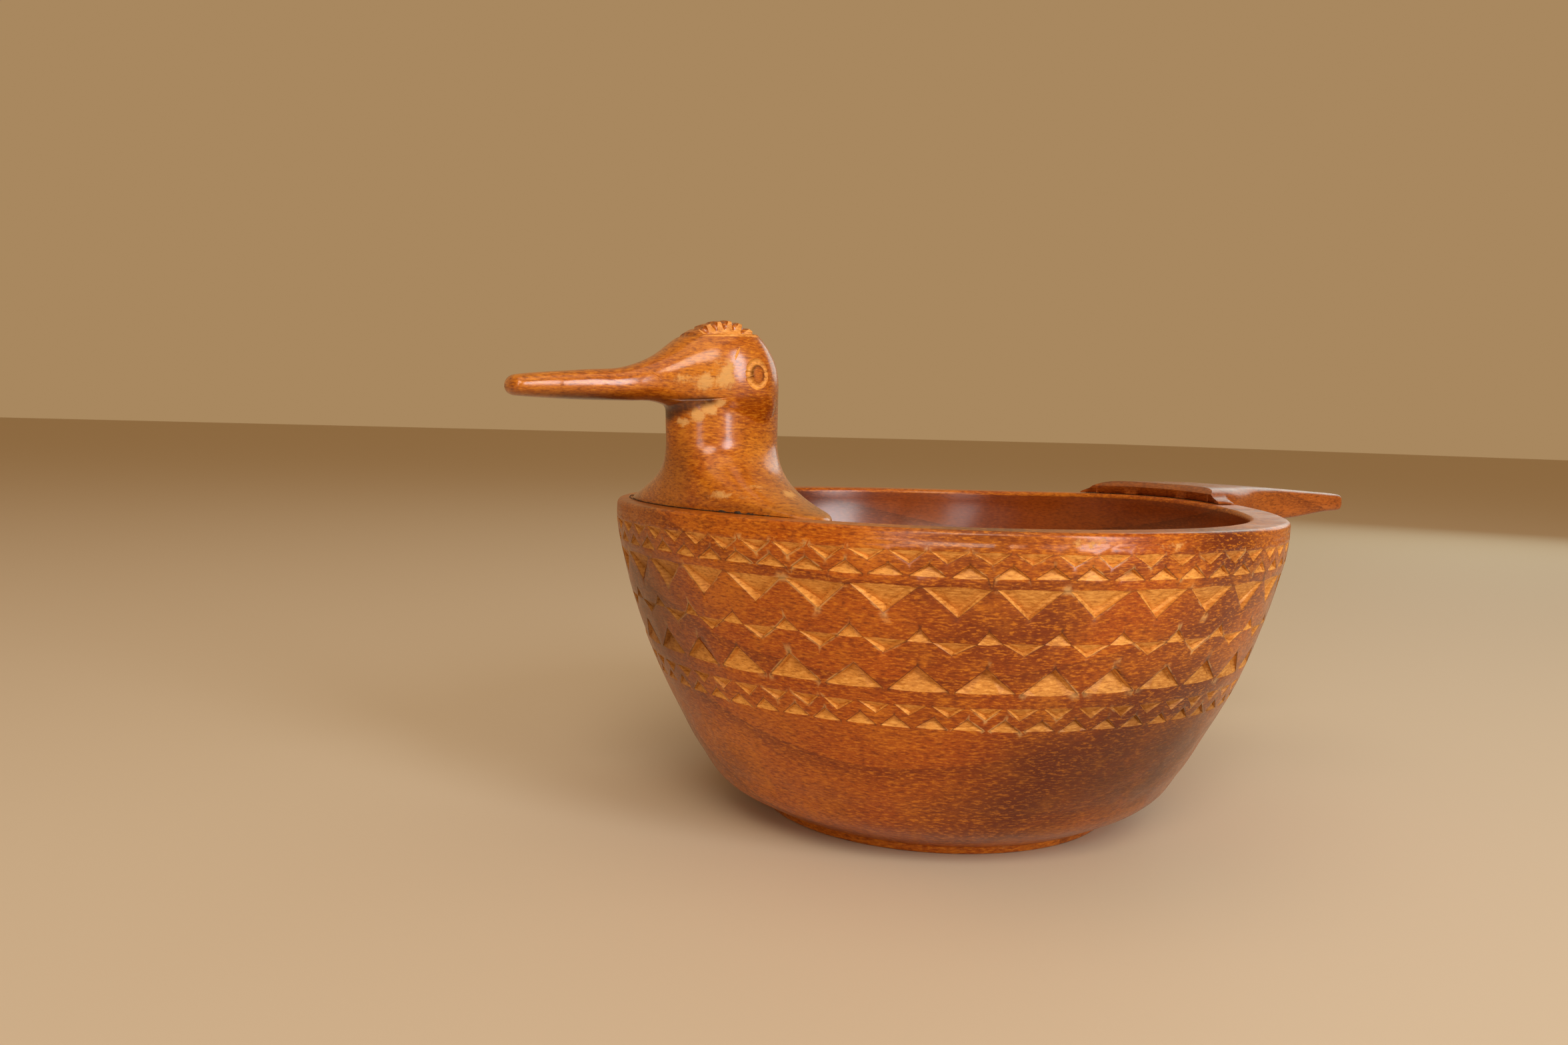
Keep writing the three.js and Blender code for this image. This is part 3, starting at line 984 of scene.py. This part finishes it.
def groove_cutter(path, radius, name, finish=0, closed=False, around=10):
    """A round gouge's path through the wood, thin at its ends unless it runs round on itself."""
    rings = []
    last = len(path) - 1
    for i, (point, (side, over)) in enumerate(zip(path, path_frames(path, closed))):
        share = 1.0 if closed else min(1.0, 0.25 + 3 * min(i, last - i) / last)
        size = radius(i) if callable(radius) else radius * share
        ring = []
        for k in range(around):
            a = 2 * math.pi * k / around
            ring.append(point + side * size * math.cos(a) + over * size * math.sin(a))
        rings.append(ring)
    return tube_mesh(rings, name, finish, closed)


def surface_finder(piece):
    """Finds where a straight look at a piece first meets it, in millimetres."""
    bpy.context.view_layer.update()
    tree = BVHTree.FromObject(piece, bpy.context.evaluated_depsgraph_get())

    def look(start, direction):
        hit = tree.ray_cast(Vector(start) * MM, Vector(direction).normalized())
        return hit[0] / MM if hit[0] is not None else None

    return look


head_varnish = wood(
    "head_varnish",
    light=(0.66, 0.23, 0.012, 1),
    middle=(0.37, 0.074, 0.001, 1),
    dark=(0.13, 0.018, 0.0004, 1),
    rings=0.3,
    coat=1.0,
    coat_roughness=0.2,
)
head_rings = station_rings(head_shape, HEAD_BACK, BEAK_TIP, HEAD_ROUNDINGS, HEAD_SQUARENESS, 150, 96)
head_loft = tube_mesh([ring + [neck_reach, 0, 0] for ring in head_rings], "head_loft")
neck_loft = tube_mesh(neck_rings(), "neck_loft")
head = fused("bird_head", [head_loft, neck_loft], HEAD_VOXEL, 7, [head_varnish, bowl_cuts])


def prism(outline, low, high, name, finish=0):
    """A flat-sided cutter: an outline in X and Z, given depth along Y."""
    rings = [[(x, y, z) for x, z in outline] for y in (low, high)]
    return tube_mesh(rings, name, finish)


COMB_HALF_WIDTH = 2.3
LEDGE_FRONT = (neck_reach + 6.4, rim_height + 27.9)
LEDGE_BACK = (neck_reach - 4.2, rim_height + 28.4)
ABOVE_HEAD = rim_height + 36
ledge = [LEDGE_FRONT, LEDGE_BACK, (LEDGE_BACK[0], ABOVE_HEAD), (LEDGE_FRONT[0], ABOVE_HEAD)]
ledge_cutters = [
    prism(ledge, side * COMB_HALF_WIDTH, side * 14, f"ledge_{index}", 1) for index, side in enumerate((-1, 1))
]
carve(head, *ledge_cutters)

# The comb's notches fan out from a point inside the head, the first at the back of the crown.
COMB_MIDDLE = Vector((neck_reach + 1.2, 0, rim_height + 24.5))
NOTCHES = 8
FIRST_NOTCH = -62
NOTCH_PITCH = 19
NOTCH_RADIUS = 0.85
NOTCH_RISE = 0.42
look = surface_finder(head)
notches = []
for index in range(NOTCHES):
    tilt = math.radians(FIRST_NOTCH + index * NOTCH_PITCH)
    outwards = Vector((-math.sin(tilt), 0, math.cos(tilt)))
    top = look(COMB_MIDDLE + outwards * 20, -outwards)
    root = top - outwards * 3.6
    path = []
    for lean_over in range(-60, 61, 10):
        a = math.radians(lean_over)
        direction = outwards * math.cos(a) + Vector((0, 1, 0)) * math.sin(a)
        found = look(root + direction * 15, -direction)
        if found is not None:
            path.append(found + direction * NOTCH_RISE)
    notches.append(groove_cutter(path, NOTCH_RADIUS, f"notch_{index}"))
carve(head, *notches)

EYE = (neck_reach - 1.5, rim_height + 21.8)
EYE_WIDTH, EYE_HEIGHT = 1.6, 1.95
# Lines cut on both sides of the face: two ends ahead of the neck and above the rim, the line's bow, the
# gouge's radius, and 1 where bare wood shows in it.
FACE_LINES = [
    ("jaw", (11.7, 17.35), (3.3, 17.9), -0.25, 0.3, 0),
    ("brow", (1.5, 25.9), (2.6, 23.9), 0.15, 0.22, 1),
    ("comb_foot", (6.6, 27.6), (-3.4, 28.1), 0.1, 0.34, 1),
    ("crack", (15.6, 21.4), (13.6, 20.2), 0.2, 0.12, 0),
]


def side_path(side, places, out=0.05):
    """Lays places of (x, z) on one side of the head, just proud of the wood."""
    path = []
    for x, z in places:
        found = look((x, side * 30, z), (0, -side, 0))
        if found is not None:
            path.append(found + Vector((0, side * out, 0)))
    return path


def line_between(first, last, bend, count=14):
    """Places along a slightly bowed line, from (x, z) ends ahead of the neck and above the rim."""
    (x0, z0), (x1, z1) = ((neck_reach + x, rim_height + z) for x, z in (first, last))
    places = []
    for i in range(count + 1):
        t = i / count
        places.append((x0 + (x1 - x0) * t, z0 + (z1 - z0) * t + 4 * bend * t * (1 - t)))
    return places


look = surface_finder(head)
ring, wobble = [], []
for i in range(40):
    a = 2 * math.pi * i / 40
    ring.append((EYE[0] + EYE_WIDTH * math.cos(a) + 0.1 * math.sin(a), EYE[1] + EYE_HEIGHT * math.sin(a)))
    wobble.append(0.6 + 0.16 * math.cos(a) + 0.05 * math.sin(i * 2.3))
details = []
for side in (-1, 1):
    eye_ring = side_path(side, ring, 0.06)
    details.append(groove_cutter(eye_ring, lambda i: wobble[i], f"eye_{side}", 1, closed=True))
    for name, first, last, bend, radius, finish in FACE_LINES:
        line = side_path(side, line_between(first, last, bend))
        details.append(groove_cutter(line, radius, f"{name}_{side}", finish))
carve(head, *details)
carve(head, wall_cutter())


def finish_piece(piece, name, node, sharp=38):
    """Gives a carved piece its smooth shading with crisp cuts, and its place on the cup."""
    piece.name = name
    piece.data.name = name
    piece.data.shade_smooth()
    piece.data.set_sharp_from_angle(angle=math.radians(sharp))
    if node:
        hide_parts(node)
    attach(piece, "root")


def head_spot(ahead_of_neck, y, above_rim):
    return (neck_reach + ahead_of_neck, y, rim_height + above_rim)


# Marks on both sides of the head: ahead of the neck, to the side, above the rim, the reach in X, Y and
# Z, and the strength. The wear is on the cheek, the jaw, the neck's foot, the beak and the comb. The
# second table darkens the head: painted shade under the beak and on the front of the neck, and darker
# spots behind the jaw and along the seam. Below them, painted shade on the throat under the jaw and
# round the inside of each eye ring, faint along its bottom.
HEAD_WEAR = [
    (4.2, 7.5, 21.8, 2.9, 4, 4, 0.85),
    (7.2, 7, 20.2, 2.9, 4, 2.4, 0.8),
    (10, 6, 20.6, 2.4, 4, 1.5, 0.55),
    (4.4, 7.1, 17.1, 1.8, 4, 1.2, 1),
    (6, 6, 16.2, 1.8, 4, 1.5, 1),
    (7.6, 4.8, 15, 1.8, 4, 1.6, 1),
    (9, 3.2, 13.8, 1.6, 4, 1.4, 0.9),
    (7.2, 5.6, 12.2, 2.4, 4, 2, 0.5),
    (5.6, 12, 2.6, 3.8, 6, 1.1, 0.95),
    (3, 12, 3.6, 3, 6, 1, 0.85),
    (-3, 15, 2.8, 3, 5, 1.3, 0.9),
    (1, 8, 8.2, 5, 7, 1.5, 0.38),
    (34, 3, 18.6, 3.2, 3, 1.2, 0.45),
    (1, 2.4, 29, 6, 2.4, 1, 0.3),
]
HEAD_SHADE_AND_DIRT = [
    (21, 2, 16.7, 19, 4, 1.7, 0.95),
    (8.5, 2, 7, 2.6, 5, 5, 0.4),
    (-1, 8.6, 17, 3.4, 3, 1.8, 0.25),
    (0, 20, 0.8, 12, 14, 1, 0.3),
]
worn, dirt_and_shade = [], []
for side in (-1, 1):
    for spots, table in ((worn, HEAD_WEAR), (dirt_and_shade, HEAD_SHADE_AND_DIRT)):
        for ahead, y, above_rim, *reach, strength in table:
            spots.append((head_spot(ahead, side * y, above_rim), reach, strength))
    # Painted shade on the throat, where it lies under the jaw.
    for t in np.linspace(0, 1, 9):
        turn = math.radians(4 + 50 * t)
        throat = (NECK_DEPTH + 0.7) * math.cos(turn), side * 7.6 * math.sin(turn)
        for above_rim in np.arange(14.6 + 2.7 * t, 17.8, 0.6):
            dirt_and_shade.append((head_spot(throat[0], throat[1], above_rim), (1.3, 1.4, 0.8), 1))
    # Painted shade round the inside of the eye ring, strong round its top and sides, faint along its bottom.
    for turn in np.linspace(0, 2 * math.pi, 24, endpoint=False):
        lid = (EYE[0] + 1.02 * math.cos(turn), side * 8, EYE[1] + 1.3 * math.sin(turn))
        dirt_and_shade.append((lid, (0.3, 1.5, 0.3), 0.75 if math.sin(turn) > -0.5 else 0.3))
finish_piece(head, "bird_head", "head_and_neck")
paint(head, "worn", worn)
paint(head, "dirt_and_shade", dirt_and_shade)


# ---- Tail -----------------------------------------------------------------------------------------
# A third piece of the same wood: a flat paddle, slightly wider at its end, to lift the cup by. Its root
# sits over the outer part of the rim and down the wall, glued and held by two dowels.
TAIL_TIP = 38.4
TAIL_START = -10
TAIL_SQUARENESS = 7
TAIL_TOP = 3.9
TAIL_FOOT_ANGLE = 20
TAIL_ROUNDINGS = (1, 1.4)
TAIL_VOXEL = 0.45
ROOT_SLOPE = 4.5

tail_shape = smooth_through(
    [
        [-10, 3.9, -14.2, 17.2],
        [-6, 3.9, -14, 17.2],
        [0, 3.9, -13, 16.8],
        [4, 3.9, -10, 15.4],
        [9, 3.9, -6, 13.4],
        [16, 3.7, -4, 12.3],
        [25, 3.2, -2.8, 12.8],
        [33, 2.7, -1.6, 13.6],
        [38.4, 2.4, -1.3, 13.7],
    ]
)
tail_rings = station_rings(tail_shape, TAIL_START, TAIL_TIP, TAIL_ROUNDINGS, TAIL_SQUARENESS, 120, 96)
tail_loft = tube_mesh([(ring + [rim_radius, 0, 0]) * [-1, -1, 1] for ring in tail_rings], "tail_loft")
tail_varnish = wood(
    "tail_varnish",
    light=(0.4, 0.105, 0.01, 1),
    middle=(0.24, 0.045, 0.003, 1),
    dark=(0.09, 0.013, 0.001, 1),
)
foot_rings = []
for t in np.linspace(-1, 1, 60):
    rise = RIM_RISE + (TAIL_TOP - RIM_RISE) * max(0.02, 1 - t * t) ** 0.6
    turn = math.pi + t * math.radians(TAIL_FOOT_ANGLE)
    inner, outer = seam_radius - 4, rim_radius - 0.8
    section = [(inner, -3), (outer, -3), (outer, rise - 0.5), (inner, rise)]
    foot_rings.append([(r * math.cos(turn), r * math.sin(turn), rim_height + z) for r, z in section])
tail_parts = [tail_loft, tube_mesh(foot_rings, "tail_foot")]
tail = fused("tail_paddle", tail_parts, TAIL_VOXEL, 4, [tail_varnish, bowl_cuts])
slope_foot = rim_height + RIM_RISE + 0.5
slope_top = rim_height + TAIL_TOP + 0.3
plug = lathe_cutter(
    [
        (0, 0),
        (seam_radius, 0),
        (seam_radius, slope_foot),
        (seam_radius + ROOT_SLOPE, slope_top),
        (seam_radius + ROOT_SLOPE, 2 * rim_height),
        (0, 2 * rim_height),
    ],
    "mouth_plug",
)
carve(tail, plug, wall_cutter())
finish_piece(tail, "tail_paddle", "tail")


# ---- Glue lines -----------------------------------------------------------------------------------
# Dark glue that squeezed out along both seams and has chipped since. It fills the thin gap between the
# pieces and the bowl, a little proud of the wood in some places and short of it in others.
glue_black = wood(
    "old_glue",
    light=(0.06, 0.05, 0.045, 1),
    middle=(0.028, 0.018, 0.013, 1),
    dark=(0.012, 0.006, 0.004, 1),
    rings=0,
    gloss=(0.35, 0.7),
    coat=0.2,
    relief=1.0,
)


def glue_bead(path, name, radius_at):
    """A ragged bead right round a seam, thick and thin by turns."""

    def thickness(i):
        waver = math.sin(i * 0.37) + math.sin(i * 1.31 + 1) + math.sin(i * 2.9 + 2)
        return radius_at(i) * (1 + 0.25 * waver)

    bead = groove_cutter([Vector(p) for p in path], thickness, name, closed=True, around=8)
    bead.data.materials.append(glue_black)
    bpy.context.scene.collection.objects.link(bead)
    finish_piece(bead, name, None, sharp=80)


def polar(radius, angle, z):
    return (radius * math.cos(angle), radius * math.sin(angle), z)


head_end = FOOT_HALF_WIDTH / seam_radius * 0.97
head_path = []
for angle in np.linspace(-head_end, head_end, 150):
    head_path.append(polar(float(seam_at(angle)) + 0.05, angle, rim_height + 0.1))
for height in np.linspace(0, -BRACKET_DEPTH, 40):
    half = FOOT_HALF_WIDTH - (FOOT_HALF_WIDTH - BRACKET_HALF_WIDTH) * (height / BRACKET_DEPTH) ** 2
    z = rim_height + height
    head_path.append(polar(float(inner_radius(min(z, wall_top))) - 0.1, half / seam_radius, z))
bracket_turn = BRACKET_HALF_WIDTH / seam_radius
low_radius = float(inner_radius(rim_height - BRACKET_DEPTH)) - 0.1
for angle in np.linspace(bracket_turn, -bracket_turn, 50)[1:-1]:
    head_path.append(polar(low_radius, angle, rim_height - BRACKET_DEPTH))
head_path += [(x, -y, z) for x, y, z in head_path[150:190][::-1]]


def head_glue_thickness(i):
    squeezed_out = 0.24 if 108 <= i <= 146 else 0.0
    return 0.05 + squeezed_out * (0.55 + 0.45 * math.sin(i * 0.8)) + (0.08 if i > 150 else 0)


glue_bead(head_path, "head_glue_line", head_glue_thickness)

ROOT_HALF_WIDTH = 16.85
ROOT_DROP = 4.7
ROOT_HALF_HEIGHT = 8.7
tail_path = []
tail_turn = math.radians(TAIL_FOOT_ANGLE - 1.5)
for angle in np.linspace(math.pi + tail_turn, math.pi - tail_turn, 90):
    tail_path.append(polar(seam_radius - 0.05, angle, rim_height + RIM_RISE * math.cos(angle) ** 6))
for turn in np.linspace(0.42, -math.pi - 0.42, 120):
    y = ROOT_HALF_WIDTH * float(squared(math.cos(turn), TAIL_SQUARENESS))
    z = rim_height - ROOT_DROP + ROOT_HALF_HEIGHT * float(squared(math.sin(turn), TAIL_SQUARENESS))
    z = min(z, rim_height + 0.9)
    r = float(outer_radius(min(z, rim_height)))
    tail_path.append((-math.sqrt(r * r - y * y) - 0.1, y, z))
glue_bead(tail_path, "tail_glue_line", lambda i: 0.07)


# ---- Dowels ---------------------------------------------------------------------------------------
# Four turned birch pegs, two behind each seam, glued into blind holes. They are bare and don't show.
dowel_birch = wood(
    "dowel_birch",
    light=(0.7, 0.5, 0.27, 1),
    middle=(0.6, 0.4, 0.2, 1),
    dark=(0.4, 0.23, 0.1, 1),
    clouds=0.4,
    rings=0.3,
    gloss=(0.55, 0.75),
    coat=0.0,
)
DOWEL_SIDES = 24
DOWELS = [
    ("head_dowel_left", head),
    ("head_dowel_right", head),
    ("tail_dowel_left", tail),
    ("tail_dowel_right", tail),
]
for name, piece in DOWELS:
    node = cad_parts[name]
    node.data.materials.clear()
    node.data.materials.append(dowel_birch)
    low, high = (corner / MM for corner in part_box(name))
    middle = (low + high) / 2
    radius = (high.z - low.z) / 2 + FIT
    turns = [2 * math.pi * k / DOWEL_SIDES for k in range(DOWEL_SIDES)]
    circle = [(middle.y + radius * math.cos(a), middle.z + radius * math.sin(a)) for a in turns]
    rings = [[(x, y, z) for y, z in circle] for x in (low.x - FIT, high.x + FIT)]
    for body in (piece, bowl):
        carve(body, tube_mesh(rings, "dowel_hole", 1))


# ---- Room -----------------------------------------------------------------------------------------
# A pale floor, soft studio lights and the camera, which looks down a little from beside the beak.
floor_mesh = bpy.data.meshes.new("floor")
floor_mesh.from_pydata([(-8, -8, 0), (8, -8, 0), (8, 8, 0), (-8, 8, 0)], [], [(0, 1, 2, 3)])
floor = bpy.data.objects.new("floor", floor_mesh)
bpy.context.scene.collection.objects.link(floor)
floor_paint = bpy.data.materials.new("floor_paint")
floor_paint.use_nodes = True
floor_finish = floor_paint.node_tree.nodes["Principled BSDF"].inputs
floor_finish["Base Color"].default_value = (0.62, 0.51, 0.37, 1)
floor_finish["Roughness"].default_value = 0.7
floor_mesh.materials.append(floor_paint)

CAMERA_PLACE = (0.1386, 0.1813, 0.0689)
PITCH = math.radians(4.465)
ROLL = math.radians(1.619)
ahead = Vector((-0.5, -0.866, 0)).normalized()
forward = ahead * math.cos(PITCH) - Vector((0, 0, math.sin(PITCH)))
level_right = forward.cross(Vector((0, 0, 1))).normalized()
level_up = level_right.cross(forward)
right = level_right * math.cos(ROLL) + level_up * math.sin(ROLL)
up = right.cross(forward)
camera_data = bpy.data.cameras.new("camera")
camera_data.lens = 28
camera_data.sensor_width = 36
camera_data.clip_start = 0.01
camera = bpy.data.objects.new("camera", camera_data)
turned_to = Matrix((right, up, -forward)).transposed().to_4x4()
camera.matrix_world = Matrix.Translation(CAMERA_PLACE) @ turned_to
bpy.context.scene.collection.objects.link(camera)
bpy.context.scene.camera = camera


def soft_light(name, place, aim, size, power, color):
    """An oval lamp behind white cloth, aimed at a point on the cup."""
    data = bpy.data.lights.new(name, "AREA")
    data.shape = "ELLIPSE"
    data.size, data.size_y = size
    data.energy = power
    data.color = color
    light = bpy.data.objects.new(name, data)
    direction = Vector(aim) - Vector(place)
    light.matrix_world = Matrix.Translation(place) @ direction.to_track_quat("-Z", "Y").to_matrix().to_4x4()
    bpy.context.scene.collection.objects.link(light)


soft_light("key", (0.36, 0.6, 0.6), (0, 0, 0.045), (0.42, 0.42), 3.0, (1, 0.92, 0.8))
soft_light("left_window", (0.55, 0.52, 0.2), (0.02, 0, 0.06), (0.22, 0.42), 0.75, (0.9, 0.95, 1))
soft_light("right_window", (-0.144, 0.673, 0.3), (0.045, 0, 0.06), (0.2, 0.6), 3.4, (0.9, 0.95, 1))
soft_light("ceiling", (0.1, 0.1, 0.95), (0, 0, 0), (0.8, 0.8), 1.1, (1, 0.94, 0.84))
soft_light("side_window", (-0.75, -0.3, 0.36), (0, 0, 0.04), (0.5, 0.5), 0.9, (0.75, 0.95, 0.95))
world = bpy.data.worlds.new("room")
world.use_nodes = True
background = world.node_tree.nodes["Background"].inputs
background["Color"].default_value = (0.66, 0.41, 0.19, 1)
background["Strength"].default_value = 0.6
bpy.context.scene.world = world
bpy.context.scene.view_settings.view_transform = "Standard"
